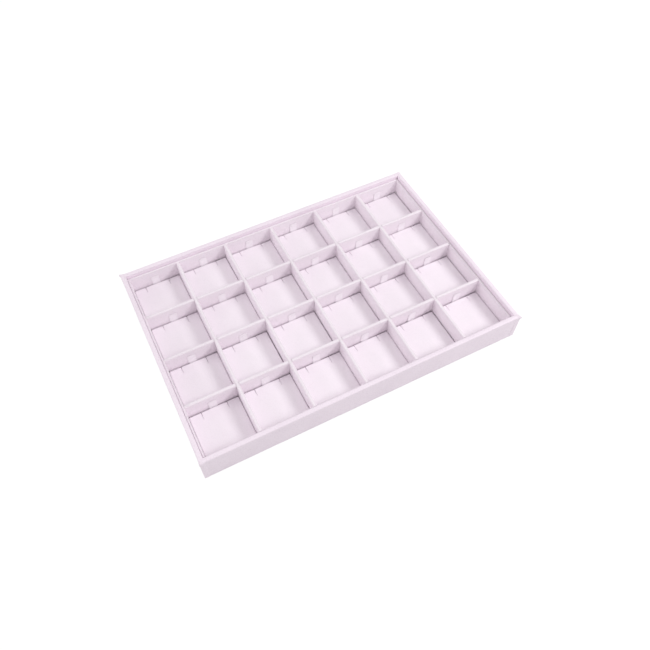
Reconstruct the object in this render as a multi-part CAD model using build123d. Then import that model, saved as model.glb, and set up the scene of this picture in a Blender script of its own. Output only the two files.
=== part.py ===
from build123d import *
from math import sqrt
import os

# Jewellery display tray. X runs along the long side, Y to the back and Z up.
# The origin is on the table, under the middle of the tray. All sizes are in millimetres.

os.makedirs("parts", exist_ok=True)

# Outside of the tray
tray_length = 350.0
tray_depth = 240.0
tray_height = 35.0

# Frame: four wrapped boards, mitred at the corners, with a rebate for the base board
wall_thickness = 5.0
wall_top_radius = 1.3
wall_foot_radius = 0.6
rebate_width = 3.0

# Floor, from the table up: glued underside sheet, rigid board, lining that the pads lie on
cover_thickness = 0.6
cover_inset = 1.2
cover_corner_radius = 3.0
board_thickness = 4.2
lining_thickness = 0.7
lining_clearance = 0.1

# Insert: liner strips round the inside, and the half-lapped dividers between them
column_count = 6
row_count = 4
insert_height = 24.5
insert_clearance = 0.5
liner_thickness = 1.8
liner_edge_radius = 0.6
divider_thickness = 3.5
divider_edge_bevel = 0.8
lap_clearance = 0.1

# Pads: one in each compartment
pad_thickness = 5.5
pad_crown = 0.5
pad_side_gap = 0.7
pad_front_gap = 0.6
pad_rear_gap = 1.6
pad_edge_radius = 1.1
pad_foot_bevel = 0.4

# Slits in the back edge of each pad, which hold a chain
slit_width = 1.0
slit_length = 8.0
slit_offset = 13.5

# Pull tab: a ribbon bonded in a recess under the pad, turned up behind it
ribbon_width = 8.8
ribbon_thickness = 0.6
ribbon_rise = 11.0
ribbon_tongue = 14.0
ribbon_crease = 0.7
ribbon_clearance = 0.2
ribbon_lean = 0.6
ribbon_lean_length = 5.0
ribbon_tip_cut = 1.2
recess_clearance = 0.1

# Levels of the stacked pieces
board_level = cover_thickness
lining_level = board_level + board_thickness
floor_level = lining_level + lining_thickness

# Plan sizes of the insert and of one compartment
insert_length = tray_length - 2 * (wall_thickness + insert_clearance)
insert_depth = tray_depth - 2 * (wall_thickness + insert_clearance)
inside_length = insert_length - 2 * liner_thickness
inside_depth = insert_depth - 2 * liner_thickness
cell_length = (inside_length - (column_count - 1) * divider_thickness) / column_count
cell_depth = (inside_depth - (row_count - 1) * divider_thickness) / row_count
column_pitch = cell_length + divider_thickness
row_pitch = cell_depth + divider_thickness

# Plan size of one pad, its height in the middle, and the radius of its crown
pad_length = cell_length - 2 * pad_side_gap
pad_depth = cell_depth - pad_front_gap - pad_rear_gap
pad_peak = pad_thickness + pad_crown
crown_half = pad_length / 2 - pad_edge_radius
crown_radius = (crown_half**2 + pad_crown**2) / (2 * pad_crown)


def insert_strip(length, width):
    """Upright strip along X, standing on z = 0 and centred in plan, without its top edges eased."""
    return Pos(0, 0, insert_height / 2) * Box(length, width, insert_height)


def top_edges(strip):
    """The two long edges along the top of a strip."""
    return strip.edges().filter_by(Axis.X).group_by(Axis.Z)[-1]


def frame_wall(run_length):
    """One mitred wall along X, with its outer face on y = 0 and its inner face towards +Y."""
    height = tray_height - cover_thickness
    bar = Pos(0, wall_thickness / 2, height / 2) * Box(run_length, wall_thickness, height)
    bar = fillet(top_edges(bar), wall_top_radius)
    outer_foot = bar.edges().filter_by(Axis.X).group_by(Axis.Z)[0].sort_by(Axis.Y)[0]
    bar = fillet(outer_foot, wall_foot_radius)
    lip = wall_thickness - rebate_width
    rebate = Box(run_length, rebate_width, board_thickness)
    bar -= Pos(0, lip + rebate_width / 2, board_thickness / 2) * rebate
    mitre = Polyline(
        (-run_length / 2, 0),
        (run_length / 2, 0),
        (run_length / 2 - wall_thickness, wall_thickness),
        (-run_length / 2 + wall_thickness, wall_thickness),
        close=True,
    )
    return Pos(0, 0, cover_thickness) * (bar & extrude(make_face(mitre), height))


def bottom_cover():
    """Thin sheet glued under the whole tray, a little inside its outer edges."""
    length = tray_length - 2 * cover_inset
    depth = tray_depth - 2 * cover_inset
    return extrude(RectangleRounded(length, depth, cover_corner_radius), cover_thickness)


def base_board():
    """Rigid board seated in the rebates of the four walls."""
    lip = wall_thickness - rebate_width
    board = Box(tray_length - 2 * lip, tray_depth - 2 * lip, board_thickness)
    return Pos(0, 0, board_level + board_thickness / 2) * board


def floor_lining():
    """Sheet on the base board, inside the walls, which the insert and the pads lie on."""
    length = tray_length - 2 * (wall_thickness + lining_clearance)
    depth = tray_depth - 2 * (wall_thickness + lining_clearance)
    return Pos(0, 0, lining_level + lining_thickness / 2) * Box(length, depth, lining_thickness)


def liner_pair(length, spacing):
    """Two liner strips along X, on either side of the middle, their outer faces spacing apart."""
    strip = insert_strip(length, liner_thickness)
    strip = fillet(top_edges(strip), liner_edge_radius)
    offset_y = (spacing - liner_thickness) / 2
    return [Pos(0, side * offset_y, floor_level) * strip for side in (-1, 1)]


def divider_strip(length, crossings, slots_from_top):
    """Divider along X with a half-lap slot, open at its top or its bottom, at each crossing."""
    strip = insert_strip(length, divider_thickness)
    strip = chamfer(top_edges(strip), divider_edge_bevel)
    slot_width = divider_thickness + 2 * lap_clearance
    slot_depth = insert_height / 2 + lap_clearance
    slot_middle = insert_height - slot_depth / 2 if slots_from_top else slot_depth / 2
    slot = Box(slot_width, 2 * divider_thickness, slot_depth)
    for x in crossings:
        strip -= Pos(x, 0, slot_middle) * slot
    return Pos(0, 0, floor_level) * strip


def divider_places(count, pitch):
    """Distances of the dividers from the middle of the tray, for this many compartments."""
    return [(index + 1 - count / 2) * pitch for index in range(count - 1)]


def crowned_bar(span, run):
    """Bar along Y with a crowned top, faceted top edges and bevelled foot, span wide and run long."""
    half = span / 2
    side = half - pad_edge_radius
    facet = pad_edge_radius * (1 - sqrt(0.5))
    shoulder = pad_peak - crown_radius + sqrt(crown_radius**2 - side**2)
    right = [
        (half - pad_foot_bevel, 0),
        (half, pad_foot_bevel),
        (half, shoulder - pad_edge_radius),
        (half - facet, shoulder - facet),
        (side, shoulder),
    ]
    left = [(-x, z) for x, z in reversed(right)]
    outline = Polyline(right) + RadiusArc(right[-1], left[0], -crown_radius)
    outline += Polyline(left) + Line(left[-1], right[0])
    return extrude(Plane.XZ * make_face(outline), run / 2, both=True)


def pad_block():
    """Crowned pad with slits, its underside on z = 0 and its middle on the Z axis."""
    pad = crowned_bar(pad_length, pad_depth)
    pad &= Rot(0, 0, 90) * crowned_bar(pad_depth, pad_length)
    slit = Box(slit_width, slit_length, 3 * pad_peak)
    for side in (-1, 1):
        pad -= Pos(side * slit_offset, (pad_depth - slit_length) / 2, pad_peak / 2) * slit
    recess_length = ribbon_tongue + recess_clearance
    recess_depth = ribbon_thickness + recess_clearance
    recess = Box(ribbon_width + 2 * recess_clearance, recess_length, 2 * recess_depth)
    return pad - Pos(0, (pad_depth - recess_length) / 2, 0) * recess


def pull_tab():
    """Ribbon bonded in the pad's recess and creased up behind it, placed as in pad_block."""
    foot = recess_clearance
    rear = pad_depth / 2
    behind = rear + ribbon_crease + ribbon_clearance
    lean_level = pad_peak + ribbon_rise - ribbon_lean_length
    route = Polyline(
        (rear - ribbon_tongue, foot),
        (behind - ribbon_crease, foot),
        (behind, foot + ribbon_crease),
        (behind, lean_level),
        (behind - ribbon_lean, pad_peak + ribbon_rise),
    )
    section = make_face(offset(route, ribbon_thickness, kind=Kind.INTERSECTION, side=Side.LEFT))
    ribbon = extrude(Plane.YZ * section, ribbon_width / 2, both=True)
    tip_edges = ribbon.faces().sort_by(Axis.Z)[-1].edges().sort_by(Axis.X)
    return chamfer([tip_edges[0], tip_edges[-1]], ribbon_tip_cut)


def pad_place(column, row):
    """Where the middle of the pad's underside lies in its compartment."""
    cell_x = (column + 0.5 - column_count / 2) * column_pitch
    cell_y = (row + 0.5 - row_count / 2) * row_pitch
    return Pos(cell_x, cell_y + (pad_front_gap - pad_rear_gap) / 2, floor_level)


def make_tray():
    """Frame, floor and insert, each under its own name."""
    quarter = Rot(0, 0, 90)
    long_wall = frame_wall(tray_length)
    short_wall = frame_wall(tray_depth)
    cross_places = divider_places(column_count, column_pitch)
    long_places = divider_places(row_count, row_pitch)
    long_strip = divider_strip(inside_length, cross_places, True)
    cross_strip = divider_strip(inside_depth, long_places, False)
    return {
        "frame_front": Pos(0, -tray_depth / 2, 0) * long_wall,
        "frame_back": Rot(0, 0, 180) * Pos(0, -tray_depth / 2, 0) * long_wall,
        "frame_right": quarter * Pos(0, -tray_length / 2, 0) * short_wall,
        "frame_left": Rot(0, 0, -90) * Pos(0, -tray_length / 2, 0) * short_wall,
        "bottom_cover": bottom_cover(),
        "base_board": base_board(),
        "floor_lining": floor_lining(),
        "insert_liner_long": liner_pair(insert_length, insert_depth),
        "insert_liner_cross": [quarter * strip for strip in liner_pair(inside_depth, insert_length)],
        "divider_long": [Pos(0, y, 0) * long_strip for y in long_places],
        "divider_cross": [Pos(x, 0, 0) * quarter * cross_strip for x in cross_places],
    }


def make_pads():
    """A pad and its pull tab for each compartment, counted from the front left corner."""
    pad = pad_block()
    tab = pull_tab()
    pieces = {}
    for row in range(row_count):
        for column in range(column_count):
            place = pad_place(column, row)
            name = f"row{row + 1}_column{column + 1}"
            pieces[f"pad_{name}"] = place * pad
            pieces[f"pull_tab_{name}"] = place * tab
    return pieces


for name, piece in (make_tray() | make_pads()).items():
    shape = Compound(children=piece) if isinstance(piece, list) else piece
    export_step(shape, f"parts/{name}.step")
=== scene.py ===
import math
import random
import bpy
from mathutils import Matrix, Vector, noise


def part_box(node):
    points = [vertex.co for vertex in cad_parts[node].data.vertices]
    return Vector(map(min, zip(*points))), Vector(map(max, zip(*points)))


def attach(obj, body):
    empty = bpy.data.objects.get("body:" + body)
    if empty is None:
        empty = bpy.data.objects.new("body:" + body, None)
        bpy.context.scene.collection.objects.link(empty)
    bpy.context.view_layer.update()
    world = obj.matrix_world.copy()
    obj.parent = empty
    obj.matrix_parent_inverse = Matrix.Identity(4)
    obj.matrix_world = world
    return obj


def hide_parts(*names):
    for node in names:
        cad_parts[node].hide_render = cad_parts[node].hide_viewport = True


# Off-white leatherette jewellery tray: wrapped frame, half-lapped dividers, slit pads and pull tabs.
# Lengths are in millimetres until a mesh is made, and the frame's places are read from the solids.

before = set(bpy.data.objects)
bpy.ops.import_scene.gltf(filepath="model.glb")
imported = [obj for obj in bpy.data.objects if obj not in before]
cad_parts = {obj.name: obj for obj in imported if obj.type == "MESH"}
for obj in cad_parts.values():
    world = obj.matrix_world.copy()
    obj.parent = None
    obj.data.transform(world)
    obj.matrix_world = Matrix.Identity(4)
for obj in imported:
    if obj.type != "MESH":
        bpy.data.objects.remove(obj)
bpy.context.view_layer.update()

MM = 0.001


def size_mm(node):
    """Lowest and highest corner of a CAD node, in millimetres."""
    low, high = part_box(node)
    return Vector(low) / MM, Vector(high) / MM


# Frame walls
wall_low, wall_high = size_mm("frame_front")
tray_length = wall_high.x - wall_low.x
tray_depth = -2 * wall_low.y
wall_thickness = wall_high.y - wall_low.y
wall_foot = wall_low.z
rim_level = wall_high.z
rim_radius = 1.3
foot_radius = 0.6

# Base board, which sits in the walls' rebates inside their lip
board_low, board_high = size_mm("base_board")
lip = board_low.x + tray_length / 2
board_top = board_high.z

# Wrap on the walls: its waves, as reach, height and shift of the seed, its seams and its puff
wall_waves = ((28.0, 0.14, 0), (9.0, 0.04, 0))
inner_wave_share = 0.25
rim_wave_share = 0.6
wave_start = 4.0
skin_depth = 0.4
rim_depth = 0.5
seam_width = 0.6
seam_swell = 0.12
seam_dip = 0.14
rim_puff = 0.14
rim_dip = 0.1
seam_wear = 0.85
rim_wear = 0.55
rim_wear_width = 1.1

# Corner folds: length of each leg, turn over the rim, start above the foot, skins, border and ear
fold_leg = 5.2
fold_over = 3.4
fold_start = 0.5
fold_bite = 0.12
fold_edge = 0.04
fold_swell = 0.16
fold_ripple = 0.07
fold_ripple_reach = 3.0
fold_border = 0.5
fold_end_share = 0.08
fold_wear = 0.6
ear_width = 1.5
ear_height = 2.4
ear_wear = 0.5

# Insert
floor_level = size_mm("floor_lining")[1].z
liner_low, liner_high = size_mm("insert_liner_long")
insert_top = liner_high.z
insert_length = liner_high.x - liner_low.x
insert_depth = liner_high.y - liner_low.y
inside_length = size_mm("divider_long")[1].x * 2
inside_depth = size_mm("divider_cross")[1].y * 2
liner_thickness = (insert_length - inside_length) / 2
liner_edge_radius = 0.6
liner_wrap = 0.36
divider_thickness = 3.5
divider_edge_radius = 1.0
lap_clearance = 0.1
strip_crest = 0.06
strip_wave_reach = 22.0
strip_wave_share = 0.03
strip_end_calm = 3.0
slot_calm = 2.5
strip_rim_wear = 0.5
strip_rim_width = 1.4
slot_wear = 0.4
slot_wear_width = 0.5
column_count = 6
row_count = 4
column_pitch = (inside_length + divider_thickness) / column_count
row_pitch = (inside_depth + divider_thickness) / row_count

# Pads, which spread a little past their solids and have their wrap turned in over the card
pad_low, pad_high = size_mm("pad_row1_column1")
pad_length = pad_high.x - pad_low.x
pad_depth = pad_high.y - pad_low.y
pad_crown = 0.5
pad_thickness = pad_high.z - pad_low.z - pad_crown
pad_edge_radius = 1.0
pad_corner_radius = 1.5
pad_spread_x = 0.5
pad_spread_y = 0.28
pad_waves = ((16.0, 0.16, 0), (6.0, 0.05, 3))
pad_wave_start = 3.0
pad_foot_gap = 0.06
pad_foot_ease = 0.5
side_bulge = 0.06
pad_edge_wear = 0.5
pad_edge_wear_width = 1.3
under_wear = 0.2
side_wear = 0.25
turn_in = 9.0
turn_in_slope = 0.3
card_inset = turn_in + 0.1
card_level = 0.3
recess_level = 0.7
recess_slope = 0.06
recess_side_room = 0.2
recess_end_room = 0.3

# Slits, which close from their mouth to their end and pull the wrap down beside them
slit_width = 0.46
slit_length = 8.0
slit_offset = 13.5
slit_end_opening = 0.2
slit_lip_radius = 0.25
slit_sink = 0.12
slit_sink_reach = 1.6
slit_wear = 0.75
slit_wear_width = 0.5

# The most that a pad strays from its place: slack, fill, tilt, yaw in degrees, drift and sunk lips
slack_most = 0.35
slack_drift = 0.8
rear_fill_most = 0.36
tilt_most = 0.0018
yaw_most = 0.1
forward_most = 0.1
lip_sink_most = 0.22

# Pull tabs: the ribbon's size, and how far behind the pad it stands below, above and at the most
tab_low, tab_high = size_mm("pull_tab_row1_column1")
ribbon_width = tab_high.x - tab_low.x
ribbon_height = tab_high.z - tab_low.z
ribbon_thickness = 0.3
ribbon_tongue = 14.0
ribbon_behind = 0.62
ribbon_back = 0.64
ribbon_reach = 1.45
ribbon_level = 0.2
ribbon_wave = 0.07
upright_level = 3.0
tip_length = 1.6
tip_drop = 0.9
tip_narrowing = 0.05
selvedge_thinning = 0.45
recess_half = ribbon_width / 2 + recess_side_room

# How tabs differ, from least to most: lean back, cupping, sideways shift, slant and height
lean_range = (-0.05, 0.14)
cup_range = (-0.06, 0.075)
skew_range = (-0.35, 0.35)
slant_range = (-0.06, 0.06)
height_range = (-0.6, 0.3)

# Steps between the points of the meshes
wall_step_up = 3.2
wall_step_along = 5.0
fold_step_up = 2.6
fold_step_over = 0.7
strip_step_low = 4.0
strip_step_high = 3.0
strip_step_along = 4.5
pad_step = 3.6
pad_line_gap = 0.04
tongue_step = 2.4
upright_step = 1.3

# Looser than any error of arithmetic, and finer than any step of a mesh
snap = 0.02

# Sharpest turn, in degrees, that a piece's surface still runs smoothly over
smooth_turn = 38.0

# Floor, in metres: half its width, its drop below the tray, its shade, and its glow where it is seen
floor_reach = 3.0
floor_drop = 0.0004
floor_shade = 0.66
floor_glow = 1.12
floor_glow_share = 0.84

# Light on a level surface: the part from all round, and each lamp's part, place and width in metres
surrounding_level = 0.65
lamps = (
    ("window_light", 0.287, (0.79, -0.61, 1.04), 0.50),
    ("left_reflector", 0.085, (-1.2, 0.25, 0.55), 0.70),
)
white = (1.0, 1.0, 1.0, 1.0)

# Camera: place and aim in metres, roll in degrees, focal length and frame in pixels, and frame shift
camera_place = (-0.17135, -0.34898, 0.56154)
camera_aim = (-0.01506, -0.02314, 0.02)
camera_roll = -1.19
focal_pixels = 622.63
frame_pixels = 650
frame_shift = 0.02
sensor_width = 36.0


class Field:
    """A node's output, which varies over a surface and takes part in arithmetic."""

    def __init__(self, nodes, socket):
        self.nodes = nodes
        self.socket = socket

    def _math(self, operation, first, second):
        return self.nodes.node("ShaderNodeMath", {"operation": operation}, {0: first, 1: second})

    def __add__(self, other):
        return self._math("ADD", self, other)

    def __radd__(self, other):
        return self._math("ADD", other, self)

    def __sub__(self, other):
        return self._math("SUBTRACT", self, other)

    def __rsub__(self, other):
        return self._math("SUBTRACT", other, self)

    def __mul__(self, other):
        return self._math("MULTIPLY", self, other)

    def __rmul__(self, other):
        return self._math("MULTIPLY", other, self)

    def between(self, low, high):
        """0 at low and 1 at high, smooth in between."""
        settings = {"interpolation_type": "SMOOTHSTEP"}
        sockets = {"Value": self, "From Min": low, "From Max": high}
        return self.nodes.node("ShaderNodeMapRange", settings, sockets)


class Nodes:
    """A node tree whose nodes are added by type and joined by arithmetic."""

    def __init__(self, tree):
        self.tree = tree

    def node(self, kind, settings, sockets, output=0):
        """Adds a node, sets it, feeds its sockets by name or number, and gives one output."""
        made = self.tree.nodes.new(kind)
        for key, value in settings.items():
            setattr(made, key, value)
        for key, value in sockets.items():
            self.feed(made.inputs[key], value)
        return Field(self, made.outputs[output])

    def feed(self, socket, value):
        """Links a field to a socket, or sets the socket's own value."""
        if isinstance(value, Field):
            self.tree.links.new(value.socket, socket)
        else:
            socket.default_value = value

    def background_rays(self):
        """1 for rays that see the background straight, mirrored or through glass, 0 for its light."""
        rays = ("Is Camera Ray", "Is Glossy Ray", "Is Transmission Ray")
        straight, mirrored, through = [self.node("ShaderNodeLightPath", {}, {}, ray) for ray in rays]
        return straight + mirrored + through


class Finish(Nodes):
    """A surface finish: one material, with the grain, marks and colours that make it up."""

    def __init__(self, name):
        self.material = bpy.data.materials.new(name)
        self.material.use_nodes = True
        super().__init__(self.material.node_tree)
        self.shader = self.tree.nodes["Principled BSDF"]
        self.place = self.node("ShaderNodeTexCoord", {}, {}, "Object")

    def stretched(self, scale):
        """The surface's own coordinates, each axis multiplied by its part of scale."""
        return self.node("ShaderNodeVectorMath", {"operation": "MULTIPLY"}, {0: self.place, 1: scale})

    def noise(self, scale, detail, place=None):
        """Soft noise with this many features to the metre."""
        sockets = {"Vector": place or self.place, "Scale": scale, "Detail": detail}
        return self.node("ShaderNodeTexNoise", {}, sockets)

    def cells(self, scale):
        """Distance within pebbly cells, with this many cells to the metre."""
        sockets = {"Vector": self.place, "Scale": scale}
        return self.node("ShaderNodeTexVoronoi", {"feature": "SMOOTH_F1"}, sockets, "Distance")

    def mark(self, name):
        """A number stored on the mesh, such as how near a point is to an edge."""
        return self.node("ShaderNodeAttribute", {"attribute_name": name}, {}, "Fac")

    def tint(self, share, first, second):
        """A colour between two, by a share from 0 to 1."""
        return self.node("ShaderNodeMix", {"data_type": "RGBA"}, {0: share, 6: first, 7: second}, 2)

    def relief(self, height, depth):
        """Surface relief from a height field, depth metres from its 0 to its 1."""
        sockets = {"Strength": 1.0, "Distance": depth, "Height": height}
        return self.node("ShaderNodeBump", {}, sockets)

    def surface(self, **sockets):
        """Feeds the shader, with spaces in its socket names written as underscores."""
        for key, value in sockets.items():
            self.feed(self.shader.inputs[key.replace("_", " ")], value)
        return self.material


def shade(red, green, blue):
    """A colour given as it looks on a screen, from 0 to 255, as the shader takes it."""
    return (*((part / 255) ** 2.2 for part in (red, green, blue)), 1.0)


def leather_grain(finish, pebble_scale, dimple_scale, cloud_scale):
    """Coated cloth's pebbles, the valleys between them, fine pores, soft dimples and clouding."""
    pebbles = finish.cells(pebble_scale)
    valleys = pebbles.between(0.35, 0.75)
    pores = finish.noise(5200.0, 3.0)
    dimples = finish.noise(dimple_scale, 2.0)
    clouds = finish.noise(cloud_scale, 3.0)
    return pebbles, valleys, pores, dimples, clouds


def leatherette(name, light, dark, pebble_scale):
    """Coated cloth with a fine pebbled grain, soft dimples and slightly dulled edges and folds."""
    finish = Finish(name)
    pebbles, valleys, pores, dimples, clouds = leather_grain(finish, pebble_scale, 75.0, 18.0)
    edge = finish.mark("edge")
    share = clouds.between(0.35, 0.7) * 0.3 + valleys * 0.4 + edge * 0.4
    return finish.surface(
        Base_Color=finish.tint(share, light, dark),
        Roughness=0.46 + valleys * 0.1 + edge * -0.06 + clouds * 0.06,
        Specular_IOR_Level=0.35,
        Normal=finish.relief(pebbles * -0.7 + pores * 0.12 + dimples, 0.00013),
    )


def card_backed_leatherette(name, light, dark, card_light, card_dark):
    """Leatherette over foam, with the bare card showing inside the turned-in edges underneath."""
    finish = Finish(name)
    pebbles, valleys, pores, dimples, clouds = leather_grain(finish, 950.0, 70.0, 16.0)
    edge = finish.mark("edge")
    card = finish.mark("card")
    share = clouds.between(0.35, 0.7) * 0.28 + valleys * 0.24 + edge * 0.45
    skin = finish.tint(share, light, dark)
    board = finish.tint(finish.noise(1200.0, 4.0), card_light, card_dark)
    height = (pebbles * -0.7 + pores * 0.12 + dimples * 1.2) * (1 - card) + pores * card
    return finish.surface(
        Base_Color=finish.tint(card, skin, board),
        Roughness=0.47 + valleys * 0.1 + card * 0.35 + clouds * 0.05,
        Specular_IOR_Level=0.33,
        Normal=finish.relief(height, 0.00008),
    )


def woven_ribbon(name, light, dark):
    """Narrow ribbed ribbon: fine crosswise ribs, a woven edge and a little sheen."""
    finish = Finish(name)
    settings = {"wave_type": "BANDS", "bands_direction": "Z", "wave_profile": "SIN"}
    sockets = {"Vector": finish.place, "Scale": 520.0, "Distortion": 0.4}
    ribs = finish.node("ShaderNodeTexWave", settings, sockets)
    threads = finish.noise(2600.0, 2.0, finish.stretched((4.0, 1.0, 1.0)))
    share = ribs * 0.15 + threads * 0.12 + finish.mark("edge") * 0.2
    return finish.surface(
        Base_Color=finish.tint(share, light, dark),
        Roughness=0.5 + threads * 0.15,
        Specular_IOR_Level=0.35,
        Normal=finish.relief(ribs * 0.8 + threads * 0.5, 0.00006),
    )


def flocked_sheet(name, light, dark):
    """Short matt flock: uneven fibres over a sheet."""
    finish = Finish(name)
    fibres = finish.noise(3800.0, 4.0)
    patches = finish.noise(40.0, 3.0)
    return finish.surface(
        Base_Color=finish.tint(fibres * 0.6 + patches * 0.4, light, dark),
        Roughness=0.88 + fibres * 0.1,
        Specular_IOR_Level=0.15,
        Normal=finish.relief(fibres, 0.00012),
    )


def fibreboard(name, light, dark):
    """Bare pressed fibreboard: short flecks and a dusty matt surface."""
    finish = Finish(name)
    flecks = finish.noise(900.0, 4.0, finish.stretched((0.35, 1.0, 1.0)))
    dust = finish.noise(5000.0, 2.0)
    return finish.surface(
        Base_Color=finish.tint(flecks.between(0.3, 0.75), light, dark),
        Roughness=0.78 + dust * 0.15,
        Specular_IOR_Level=0.2,
        Normal=finish.relief(flecks * 0.6 + dust * 0.4, 0.00008),
    )


# One leatherette in three copies with painted light and shade. The pads' copy is lighter and the frame's
# and dividers' darker, so that the pads, which get less light down in the compartments, look as bright as
# the rim. The frame's copy is pinker and the dividers' greyer, to offset how light tints the front face and
# the compartment walls.
frame_leatherette = leatherette(
    "frame_leatherette", shade(245.7, 232.4, 243.2), shade(230.8, 216.5, 228), pebble_scale=950.0
)
divider_leatherette = leatherette(
    "divider_leatherette", shade(245, 235.6, 243), shade(231, 220.4, 228.4), pebble_scale=1000.0
)
pad_leatherette = card_backed_leatherette(
    "pad_leatherette",
    shade(252, 243.5, 250.5),
    shade(241, 231, 239),
    card_light=shade(196, 190, 184),
    card_dark=shade(172, 165, 158),
)
tab_ribbon = woven_ribbon("tab_ribbon", shade(253, 247, 252), shade(234, 224, 232))
lining_flock = flocked_sheet("lining_flock", shade(226, 214, 223), shade(200, 188, 198))
cover_flock = flocked_sheet("cover_flock", shade(236, 230, 234), shade(214, 206, 212))
raw_board = fibreboard("raw_board", shade(178, 150, 118), shade(139, 112, 84))


def make_piece(name, mesh_parts, material, shift, turn=0.0):
    """Piece from points in millimetres, faces and marks, turned about Z in degrees and shifted."""
    points, faces, marks = mesh_parts
    place = Matrix.Translation(Vector(shift)) @ Matrix.Rotation(math.radians(turn), 4, "Z")
    mesh = bpy.data.meshes.new(name)
    mesh.from_pydata([place @ Vector(point) * MM for point in points], [], faces)
    for mark, values in marks.items():
        layer = mesh.attributes.new(mark, "FLOAT", "POINT")
        layer.data.foreach_set("value", values)
    mesh.validate()
    mesh.update()
    mesh.shade_smooth()
    mesh.set_sharp_from_angle(angle=math.radians(smooth_turn))
    mesh.materials.append(material)
    piece = bpy.data.objects.new(name, mesh)
    bpy.context.scene.collection.objects.link(piece)
    return piece


def evenly(start, stop, step):
    """Values from start to stop, both included, about this far apart."""
    count = max(1, round(abs(stop - start) / step))
    return [start + (stop - start) * index / count for index in range(count + 1)]


def mirrored(values):
    """The values, after the same values with their signs changed and in the opposite order."""
    return [-value for value in reversed(values)] + list(values)


def sorted_apart(values, least):
    """The values in order, without those closer than least to the one before."""
    result = []
    for value in sorted(values):
        if not result or value - result[-1] > least:
            result.append(value)
    return result


def quarter(centre, radius, start, count):
    """Points on a quarter turn, from the start angle in degrees, both ends included."""
    turns = [math.radians(start + 90 * step / count) for step in range(count + 1)]
    return [(centre[0] + radius * math.cos(a), centre[1] + radius * math.sin(a)) for a in turns]


def climbing(value, low, high):
    """0 up to low, 1 from high on, and even in between."""
    return min(1.0, max(0.0, (value - low) / (high - low)))


def fading(distance, reach):
    """1 at no distance, falling evenly to 0 at this reach."""
    return max(0.0, 1 - distance / reach)


def bell(distance, width):
    """1 at no distance, falling softly to a third at about this width."""
    return math.exp(-((distance / width) ** 2))


def edge_fall(distance, radius):
    """How far an edge of this radius has fallen away, this far inside it."""
    short = max(0.0, radius - distance)
    return radius - math.sqrt(max(0.0, radius**2 - short**2))


def ripple(x, y, z, reach, seed):
    """Slow unevenness of stretched wrap, from -1 to 1, with features about reach wide."""
    return noise.noise(Vector((x / reach + seed * 7.3, y / reach - seed * 3.1, z / reach + seed)))


def waves(x, y, z, layers, seed):
    """Ripples of several sizes together, each layer with its reach, height and shift of the seed."""
    return sum(ripple(x, y, z, reach, seed + shift) * height for reach, height, shift in layers)


def end_caps(size, count):
    """Faces that close a run of rings of this size, over this many points, at both ends."""
    return [tuple(reversed(range(size))), tuple(range(count - size, count))]


def two_skins(width, height, is_gap=lambda column, row: False):
    """Faces of two grid skins that face apart, and the sides of the first that are left open."""
    skin_size = width * height
    faces, sides = [], {}
    for row in range(height - 1):
        for column in range(width - 1):
            if is_gap(column, row):
                continue
            corner = row * width + column
            loop = (corner, corner + 1, corner + width + 1, corner + width)
            faces.append(loop)
            faces.append(tuple(index + skin_size for index in reversed(loop)))
            for here, there in zip(loop, loop[1:] + loop[:1]):
                if (there, here) in sides:
                    del sides[(there, here)]
                else:
                    sides[(here, there)] = True
    return faces, list(sides)


def sheet_faces(width, height):
    """Faces of a thin sheet: two grid skins, joined all round their border."""
    skin_size = width * height
    faces, sides = two_skins(width, height)
    return faces + [(here, here + skin_size, there + skin_size, there) for here, there in sides]


# Frame: wrapped walls with mitre seams, and the overlapped fold at each outer corner


def wall_outline():
    """A wall's section, counter-clockwise, as inward distance and height above the table."""
    top = rim_level - rim_radius
    outline = [(0, z) for z in evenly(top, wall_foot + foot_radius, wall_step_up)]
    outline += quarter((foot_radius, wall_foot + foot_radius), foot_radius, 180, 3)[1:]
    outline += [(lip, wall_foot), (lip, board_top), (wall_thickness, board_top)]
    outline += [(wall_thickness, z) for z in evenly(board_top + 2.5, top, wall_step_up)]
    outline += quarter((wall_thickness - rim_radius, top), rim_radius, 0, 6)[1:]
    outline += quarter((rim_radius, top), rim_radius, 90, 6)[:-1]
    return outline


def wall_mesh(run, seed):
    """Points, faces and marks of one wall along X, outer face on y = 0, inner towards +Y."""
    outline = wall_outline()
    half = run / 2
    near_end = [-half + step for step in (0, 0.25, 0.7, 1.5, 3.0)]
    middle = evenly(-half + 6.0, half - 6.0, wall_step_along)
    stations = near_end + middle + [-station for station in reversed(near_end)]
    points, edge = [], []
    for station in stations:
        from_end = half - abs(station)
        seam = bell(from_end, seam_width)
        calm = climbing(from_end, 0, wave_start)
        for inward, z in outline:
            x = station * (half - inward) / half
            wave = calm * waves(x, inward, z, wall_waves, seed)
            outer = fading(inward, skin_depth)
            inner = fading(wall_thickness - inward, skin_depth)
            on_top = fading(rim_level - z, rim_depth)
            y = inward + (inner * inner_wave_share - outer) * wave + seam * seam_swell * (outer - inner)
            puff = rim_puff * math.sin(math.pi * inward / wall_thickness) * on_top
            z += (wave * rim_wave_share + puff - seam_dip * seam - rim_dip) * on_top
            points.append((x, y, z))
            from_arris = min(abs(inward), abs(wall_thickness - inward)) + abs(rim_level - z)
            edge.append(min(1.0, seam_wear * seam + rim_wear * bell(from_arris, rim_wear_width)))
    size = len(outline)
    faces = end_caps(size, len(points))
    for row in range(len(stations) - 1):
        for column in range(size):
            here, there = row * size + column, row * size + (column + 1) % size
            faces.append((here, there, there + size, here + size))
    return points, faces, {"edge": edge}


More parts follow.
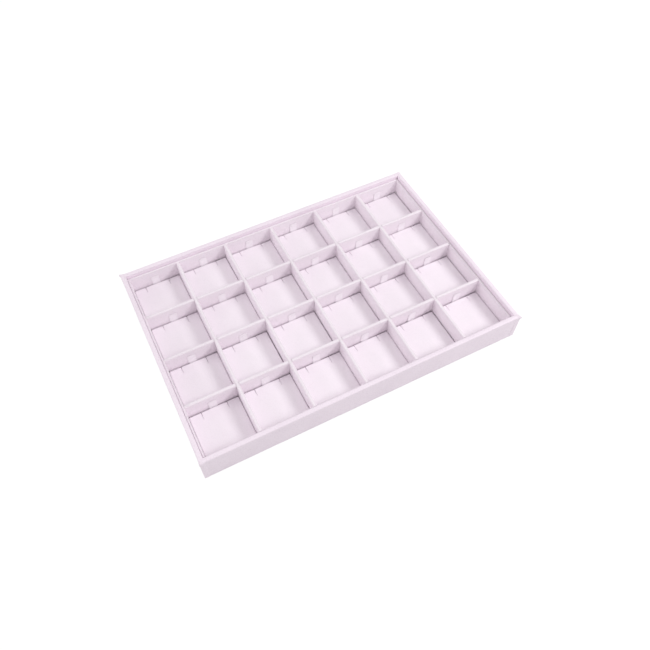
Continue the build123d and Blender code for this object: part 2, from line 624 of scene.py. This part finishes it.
def corner_fold_mesh(seed, ear):
    """The wrap's overlapped corner: two legs round an upright outer corner, turned over the rim."""
    top = rim_level - rim_radius
    climb = [(0, z) for z in evenly(wall_foot + fold_start, top, fold_step_up)]
    climb += list(reversed(quarter((rim_radius, top), rim_radius, 90, 5)))[1:]
    over_rim = evenly(rim_radius + 0.6, fold_over, fold_step_over)
    climb += [(inward, rim_level) for inward in over_rim]
    one_leg = [0.18, 0.5, 1.1, 2.2, 3.6, fold_leg - 0.35, fold_leg]
    legs = [-along for along in reversed(one_leg)] + [0] + one_leg
    points, edge = [], []
    for skin in ("inner", "outer"):
        for level, (inward, z) in enumerate(climb):
            run = level / (len(climb) - 1)
            over = climbing(z, top, rim_level)
            for along in legs:
                border = min(1.0, (fold_leg - abs(along)) / fold_border, (1 - run) / fold_end_share)
                nub = ear * bell(along, ear_width) * bell(rim_level - z + inward, ear_height)
                edge.append(fold_wear * (1 - border) + ear_wear * nub)
                thick = -fold_bite
                if skin == "outer":
                    thick = fold_edge + fold_swell * border + nub
                    thick += ripple(along, inward, z, fold_ripple_reach, seed) * fold_ripple
                out = thick * (1 - over)
                from_face = inward - out
                from_corner = inward + abs(along) - out * fading(abs(along), 0.5)
                plan = (from_corner, from_face) if along < 0 else (from_face, from_corner)
                points.append((*plan, z + thick * over))
    return points, sheet_faces(len(legs), len(climb)), {"edge": edge}


def make_frame():
    """Four mitred walls and four corner folds, all on the tray body."""
    walls = (
        ("front", tray_length, 0, (0, -tray_depth / 2, 0)),
        ("right", tray_depth, 90, (tray_length / 2, 0, 0)),
        ("back", tray_length, 180, (0, tray_depth / 2, 0)),
        ("left", tray_depth, 270, (-tray_length / 2, 0, 0)),
    )
    for seed, (side, run, turn, shift) in enumerate(walls, start=1):
        wall = make_piece(f"wrapped_wall_{side}", wall_mesh(run, seed), frame_leatherette, shift, turn)
        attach(wall, "tray")
        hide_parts(f"frame_{side}")
    corners = (
        ("front_left", 0, (-1, -1), 0.6),
        ("front_right", 90, (1, -1), 1.4),
        ("back_right", 180, (1, 1), 0.5),
        ("back_left", 270, (-1, 1), 1.3),
    )
    for seed, (corner, turn, (side_x, side_y), ear) in enumerate(corners, start=11):
        shift = (side_x * tray_length / 2, side_y * tray_depth / 2, 0)
        mesh_parts = corner_fold_mesh(seed, ear)
        fold = make_piece(f"corner_fold_{corner}", mesh_parts, frame_leatherette, shift, turn)
        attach(fold, "tray")


# Insert: liner strips and half-lapped dividers


def strip_mesh(length, thickness, radius, slots, slots_from_top, seed):
    """Wrapped strip along X with half-lap slots, all open at the top or all at the bottom."""
    height = insert_top - floor_level
    lap = height / 2 + (-lap_clearance if slots_from_top else lap_clearance)
    half = thickness / 2
    flank = [(half, z) for z in evenly(0, lap, strip_step_low)]
    at_lap = len(flank) - 1
    flank += [(half, z) for z in evenly(lap, height - radius, strip_step_high)][1:]
    flank += quarter((half - radius, height - radius), radius, 0, 5)[1:]
    outline = flank + [(0, height + strip_crest)] + [(-y, z) for y, z in reversed(flank)]
    slot_half = divider_thickness / 2 + lap_clearance
    slot_sides = sorted(place + side * slot_half for place in slots for side in (-1, 1))
    stops = [-length / 2, *slot_sides, length / 2]
    stations, in_slot = [], []
    for index, (start, stop) in enumerate(zip(stops, stops[1:])):
        steps = evenly(start, stop, strip_step_along)[:-1]
        stations += steps
        in_slot += [index % 2 == 1] * len(steps)
    stations.append(length / 2)
    points, edge = [], []
    for x in stations:
        from_end = length / 2 - abs(x)
        from_slot = min([abs(x - place) for place in slot_sides], default=length)
        calm = min(1.0, from_end / strip_end_calm, from_slot / slot_calm)
        at_slot = slot_wear * bell(from_slot, slot_wear_width)
        wave_depth = strip_wave_share * thickness * calm
        for y, z in outline:
            wave = ripple(x, y, z, strip_wave_reach, seed) * wave_depth * z / height
            top = fading(height - z, rim_depth)
            outward = (y > 0) - (y < 0)
            rim = bell(height - z, strip_rim_width) * (abs(y) > half - radius * 1.2)
            points.append((x, y + wave * (1 - top) * outward, floor_level + z + wave * top * 0.8))
            edge.append(min(1.0, strip_rim_wear * rim + at_slot))
    faces = strip_faces(len(outline), at_lap, in_slot, slots_from_top)
    return points, faces, {"edge": edge}


def strip_faces(size, at_lap, in_slot, slots_from_top):
    """Faces between a strip's sections of this size, with the slots cut to the lap's level."""
    mirror_lap = size - 1 - at_lap
    upper = list(range(at_lap, mirror_lap + 1))
    lower = list(range(mirror_lap, size)) + list(range(0, at_lap + 1))
    cut, kept = (upper, lower) if slots_from_top else (lower, upper)
    faces = end_caps(size, (len(in_slot) + 1) * size)
    was_slot = False
    for row, is_slot in enumerate(in_slot):
        base = row * size
        for run in [kept] if is_slot else [kept, cut]:
            for here, there in zip(run, run[1:]):
                faces.append((base + here, base + there, base + there + size, base + here + size))
        if is_slot:
            last, first = base + kept[-1], base + kept[0]
            faces.append((last, first, first + size, last + size))
        if is_slot != was_slot:
            wall = [base + index for index in cut]
            faces.append(tuple(reversed(wall) if was_slot else wall))
        was_slot = is_slot
    return faces


def strip_piece(name, mesh_parts, node, shift, turn=0.0):
    """A strip of the insert as a piece on the insert's body, standing for its CAD node."""
    strip = make_piece(name, mesh_parts, divider_leatherette, shift, turn)
    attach(strip, "divider_insert")
    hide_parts(node)


def divider_places(count, pitch):
    """Distances of the dividers from the middle of the tray, for this many compartments."""
    return [(index + 1 - count / 2) * pitch for index in range(count - 1)]


def make_insert():
    """Four liner strips, three long dividers and five cross dividers."""
    wrapped = liner_thickness + liner_wrap
    long_run = insert_length + 2 * liner_wrap
    offset_y = (insert_depth - liner_thickness + liner_wrap) / 2
    offset_x = (insert_length - liner_thickness + liner_wrap) / 2
    for side, name in ((-1, "front"), (1, "back")):
        liner = strip_mesh(long_run, wrapped, liner_edge_radius, [], True, 20 + side)
        strip_piece(f"liner_{name}", liner, "insert_liner_long", (0, side * offset_y, 0))
    for side, name in ((-1, "left"), (1, "right")):
        liner = strip_mesh(inside_depth, wrapped, liner_edge_radius, [], True, 24 + side)
        strip_piece(f"liner_{name}", liner, "insert_liner_cross", (side * offset_x, 0, 0), 90)
    across = divider_places(column_count, column_pitch)
    along = divider_places(row_count, row_pitch)
    for index, y in enumerate(along):
        divider = strip_mesh(
            inside_length, divider_thickness, divider_edge_radius, across, True, 30 + index
        )
        strip_piece(f"long_divider_{index + 1}", divider, "divider_long", (0, y, 0))
    for index, x in enumerate(across):
        divider = strip_mesh(
            inside_depth, divider_thickness, divider_edge_radius, along, False, 40 + index
        )
        strip_piece(f"cross_divider_{index + 1}", divider, "divider_cross", (x, 0, 0), 90)


# Pads: crowned, slit at the back and turned in underneath, each with a ribbon tab


class PadForm:
    """One pad's plan, slits and lie, which differ a little from pad to pad."""

    def __init__(self, seed):
        draw = random.Random(seed)
        slack = slack_most * draw.random() ** 2
        rear_fill = draw.uniform(0.0, rear_fill_most)
        self.seed = seed
        self.half_x = pad_length / 2 + pad_spread_x - slack
        self.half_y = pad_depth / 2 + pad_spread_y + rear_fill / 2
        self.slit_end = self.half_y - slit_length
        self.recess_end = self.half_y - ribbon_tongue - recess_end_room
        self.tilt_x = draw.uniform(-tilt_most, tilt_most)
        self.tilt_y = draw.uniform(-tilt_most, tilt_most)
        self.turn = Matrix.Rotation(math.radians(draw.uniform(-yaw_most, yaw_most)), 3, "Z")
        forward = draw.uniform(0.0, forward_most)
        self.drift = Vector((-slack_drift * slack, rear_fill / 2 - forward, 0))
        self.lip_sinks = [draw.uniform(0.0, lip_sink_most) for _ in range(2)]

    def grid_lines(self):
        """Places of the grid's lines along X and along Y, closer together where the form turns."""
        edge_steps = [0, 0.05, 0.18, 0.4, 0.75, pad_edge_radius, 1.9, 3.0, turn_in, turn_in + turn_in_slope]
        lip_steps = [0, 0.12, 0.35, 0.8, 1.6]
        xs = [self.half_x - step for step in edge_steps] + [2.2, 7.0, 9.5, 18.0]
        xs += [slit_offset + side * (slit_width / 2 + step) for side in (-1, 1) for step in lip_steps]
        xs += [recess_half, recess_half + recess_slope]
        ys = mirrored([self.half_y - step for step in edge_steps])
        ys += [self.slit_end - step for step in lip_steps] + [self.slit_end + 0.4]
        ys += [self.recess_end, self.recess_end - recess_slope]
        ys += evenly(-self.half_y + 4.5, self.half_y - 4.5, pad_step)
        return sorted_apart([*mirrored(xs), 0], pad_line_gap), sorted_apart(ys, pad_line_gap)

    def inset(self, x, y):
        """Distance inside the nearest outer edge."""
        return min(self.half_x - abs(x), self.half_y - abs(y))

    def to_slit(self, x, y):
        """Distance to the nearer slit, 0 inside it."""
        across = max(0.0, abs(abs(x) - slit_offset) - slit_width / 2)
        return math.hypot(across, max(0.0, self.slit_end - y))

    def in_slit(self, x, y):
        """Whether a place lies inside a slit."""
        return abs(abs(x) - slit_offset) < slit_width / 2 and y > self.slit_end

    def top_height(self, x, y):
        """Height of the crowned top over the pad's underside."""
        inset, near = self.inset(x, y), self.to_slit(x, y)
        crown = pad_crown * (1 - (x / self.half_x) ** 2) * (1 - (y / self.half_y) ** 2)
        fall = edge_fall(inset, pad_edge_radius) + edge_fall(near, slit_lip_radius)
        pull = (slit_sink + self.lip_sinks[x > 0]) * math.exp(-near / slit_sink_reach)
        wave = waves(x, y, 0, pad_waves, self.seed) * climbing(inset, 0, pad_wave_start)
        return pad_thickness + crown - fall - pull + wave

    def under_height(self, x, y):
        """Height of the underside: card inside a turned-in edge, and the recess for the tab."""
        inset = self.inset(x, y)
        level = card_level if inset > card_inset else 0.0
        if abs(x) < recess_half + snap and y > self.recess_end - snap:
            level = recess_level
        return max(level, pad_foot_ease * fading(inset, pad_foot_ease) ** 2)

    def pinched(self, x, y):
        """Place across the pad, with the sides of each slit closing from its mouth to its end."""
        beside = abs(x) - slit_offset
        if abs(beside) > slit_width / 2 + snap or y < self.slit_end - snap:
            return x
        opening = slit_end_opening + (1 - slit_end_opening) * (y - self.slit_end) / slit_length
        return math.copysign(slit_offset + beside * opening, x)

    def rounded(self, x, y):
        """Place in plan with the four upright corners rounded."""
        corner_x, corner_y = self.half_x - pad_corner_radius, self.half_y - pad_corner_radius
        u, v = (abs(x) - corner_x) / pad_corner_radius, (abs(y) - corner_y) / pad_corner_radius
        if u <= 0 or v <= 0:
            return x, y
        round_x = corner_x + pad_corner_radius * u * math.sqrt(1 - v * v / 2)
        round_y = corner_y + pad_corner_radius * v * math.sqrt(1 - u * u / 2)
        return math.copysign(round_x, x), math.copysign(round_y, y)

    def point(self, x, y, height):
        """Point of a skin, with the slits closed towards their ends and the corners rounded."""
        return Vector((*self.rounded(self.pinched(x, y), y), height))

    def wear(self, x, y):
        """Mark of the dulled outer edge and of the lips of the slits."""
        outer = pad_edge_wear * bell(self.inset(x, y), pad_edge_wear_width)
        return min(1.0, outer + slit_wear * bell(self.to_slit(x, y), slit_wear_width))

    def laid(self, point):
        """Where a point comes to lie: the pad tilted, turned and drifted in its compartment."""
        rise = pad_foot_gap + self.tilt_x * point.x + self.tilt_y * point.y
        return self.turn @ (point + Vector((0, 0, rise))) + self.drift


def pad_mesh(seed):
    """Points, faces and marks of a pad on the floor's level, centred in plan on the Z axis."""
    form = PadForm(seed)
    xs, ys = form.grid_lines()
    skin_size = len(xs) * len(ys)
    grid = [(x, y) for y in ys for x in xs]
    points = [form.point(x, y, form.top_height(x, y)) for x, y in grid]
    points += [form.point(x, y, form.under_height(x, y)) for x, y in grid]
    edge = [form.wear(x, y) for x, y in grid] + [under_wear] * skin_size
    card = [0.0] * skin_size + [float(form.inset(x, y) > card_inset) for x, y in grid]

    def is_slit(column, row):
        """Whether this cell of the grid lies inside a slit."""
        return form.in_slit((xs[column] + xs[column + 1]) / 2, (ys[row] + ys[row + 1]) / 2)

    faces, sides = two_skins(len(xs), len(ys), is_slit)
    uprights = {}
    for index in dict.fromkeys(index for side in sides for index in side):
        uprights[index] = [index]
        for share in (0.15, 0.4, 0.75):
            point = points[index].lerp(points[index + skin_size], share)
            outward = Vector((point.x, point.y, 0)).normalized()
            uprights[index].append(len(points))
            points.append(point + outward * side_bulge * math.sin(math.pi * share))
            edge.append(side_wear)
            card.append(0.0)
        uprights[index].append(index + skin_size)
    for here, there in sides:
        near, far = uprights[here], uprights[there]
        for step in range(len(near) - 1):
            faces.append((far[step], near[step], near[step + 1], far[step + 1]))
    return [form.laid(point) for point in points], faces, {"edge": edge, "card": card}


def tab_route(tall, lean):
    """The ribbon's middle line, as places behind the pad's middle and heights over its underside."""
    rear = pad_depth / 2
    behind = rear + ribbon_behind
    route = [(y, ribbon_level) for y in evenly(rear - ribbon_tongue, rear, tongue_step)]
    route += [(rear + 0.32, 0.26), (behind - 0.08, 0.5), (behind, 0.85)]
    for z in evenly(1.6, tall, upright_step):
        back = ribbon_back * climbing(z, 1.5, 5.5)
        bend = lean * climbing(z, 6.0, tall) ** 2
        route.append((behind + back - bend + ribbon_wave * math.sin(z * 0.7), z))
    return route


def tab_mesh(seed):
    """Ribbon under the pad, creased up behind it, with a slight lean and curl of its own."""
    draw = random.Random(seed + 500)
    lean = draw.uniform(*lean_range)
    cupping = draw.uniform(*cup_range)
    skew = draw.uniform(*skew_range)
    slant = draw.uniform(*slant_range)
    tall = ribbon_height + draw.uniform(*height_range)
    route = tab_route(tall, lean)
    across = mirrored([0.2, 0.5, 0.8, 0.94, 1])
    half = ribbon_width / 2
    farthest = pad_depth / 2 + ribbon_reach
    points, edge = [], []
    for skin in (-0.5, 0.5):
        for index, (y, z) in enumerate(route):
            before, after = route[max(0, index - 1)], route[min(len(route) - 1, index + 1)]
            run = Vector((0, after[0] - before[0], after[1] - before[1])).normalized()
            normal = Vector((0, -run.z, run.y))
            tip = fading(tall - z, tip_length)
            rise = climbing(z, upright_level, tall)
            for share in across:
                x = share * half * (1 - tip_narrowing * tip**2) + skew * rise
                lower = tip * (tip_drop * share**8 + slant * share * half)
                thick = ribbon_thickness * (1 - selvedge_thinning * share**8)
                cup = cupping * rise * (share**2 - 0.4)
                point = Vector((x, y, z - lower)) + normal * (thick * skin + cup)
                point.y = min(point.y, farthest)
                points.append(point)
                edge.append(min(1.0, 0.8 * climbing(abs(share), 0.75, 1.0) + 0.5 * tip))
    faces = [tuple(reversed(face)) for face in sheet_faces(len(across), len(route))]
    return points, faces, {"edge": edge}


def make_pads():
    """A pad and its pull tab in each compartment, at the place of its CAD solids."""
    for row in range(1, row_count + 1):
        for column in range(1, column_count + 1):
            place = f"row{row}_column{column}"
            low, high = size_mm(f"pad_{place}")
            shift = ((low.x + high.x) / 2, (low.y + high.y) / 2, low.z)
            seed = row * 10 + column
            body = f"lift_pad_{place}"
            pad = make_piece(f"slit_pad_{place}", pad_mesh(seed), pad_leatherette, shift)
            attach(pad, body)
            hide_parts(f"pad_{place}")
            tab = make_piece(f"ribbon_{place}", tab_mesh(seed), tab_ribbon, shift)
            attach(tab, body)
            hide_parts(f"pull_tab_{place}")


def dress_node(node, material):
    """Gives a CAD node that stays in view its finish."""
    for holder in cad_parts[node].material_slots:
        holder.link = "OBJECT"
        holder.material = material


# Studio: pale floor, soft light from the right and the left, and the photograph's camera


def make_floor():
    """Floor that takes the tray's shadow and otherwise reads as white."""
    finish = Finish("studio_floor")
    colour = (floor_shade, floor_shade, floor_shade, 1.0)
    finish.surface(Base_Color=colour, Roughness=0.9, Specular_IOR_Level=0.0)
    plain = Field(finish, finish.shader.outputs[0])
    glow = finish.node("ShaderNodeEmission", {}, {"Color": white, "Strength": floor_glow})
    share = finish.background_rays() * floor_glow_share
    both = finish.node("ShaderNodeMixShader", {}, {0: share, 1: plain, 2: glow})
    finish.feed(finish.tree.nodes["Material Output"].inputs["Surface"], both)
    mesh = bpy.data.meshes.new("studio_floor")
    sides = ((-1, -1), (1, -1), (1, 1), (-1, 1))
    corners = [(x * floor_reach, y * floor_reach, -floor_drop) for x, y in sides]
    mesh.from_pydata(corners, [], [(0, 1, 2, 3)])
    mesh.materials.append(finish.material)
    floor = bpy.data.objects.new("studio_floor", mesh)
    bpy.context.scene.collection.objects.link(floor)


def make_surroundings():
    """Even light from all round, which is itself seen as white."""
    world = bpy.data.worlds.new("studio_light")
    bpy.context.scene.world = world
    world.use_nodes = True
    sky = Nodes(world.node_tree)
    sky.tree.nodes.remove(sky.tree.nodes["Background"])
    around = sky.node("ShaderNodeBackground", {}, {"Color": white, "Strength": surrounding_level})
    seen = sky.node("ShaderNodeBackground", {}, {"Color": white, "Strength": 1.0})
    both = sky.node("ShaderNodeMixShader", {}, {0: sky.background_rays(), 1: around, 2: seen})
    sky.feed(sky.tree.nodes["World Output"].inputs["Surface"], both)


def make_lamps():
    """Round soft lamps that face the tray, each as strong as its part of the light asks."""
    for name, level, place, size in lamps:
        lamp = bpy.data.lights.new(name, "AREA")
        lamp.shape = "DISK"
        lamp.size = size
        place = Vector(place)
        lamp.energy = level * math.pi**2 * place.length_squared / place.normalized().z
        light = bpy.data.objects.new(name, lamp)
        light.location = place
        light.rotation_mode = "QUATERNION"
        light.rotation_quaternion = place.to_track_quat("Z", "Y")
        bpy.context.scene.collection.objects.link(light)


def make_camera():
    """The photograph's viewpoint."""
    data = bpy.data.cameras.new("camera")
    data.sensor_width = sensor_width
    data.lens = focal_pixels / frame_pixels * sensor_width
    data.shift_x = frame_shift
    data.clip_start = 0.01
    camera = bpy.data.objects.new("camera", data)
    look = Vector(camera_aim) - Vector(camera_place)
    roll = Matrix.Rotation(math.radians(camera_roll), 3, "Z")
    camera.rotation_mode = "QUATERNION"
    camera.rotation_quaternion = (look.to_track_quat("-Z", "Y").to_matrix() @ roll).to_quaternion()
    camera.location = camera_place
    bpy.context.scene.collection.objects.link(camera)
    bpy.context.scene.camera = camera


make_camera()
make_floor()
make_surroundings()
make_lamps()
make_frame()
make_insert()
make_pads()
dress_node("base_board", raw_board)
dress_node("floor_lining", lining_flock)
dress_node("bottom_cover", cover_flock)

bpy.context.scene.view_settings.view_transform = "Standard"
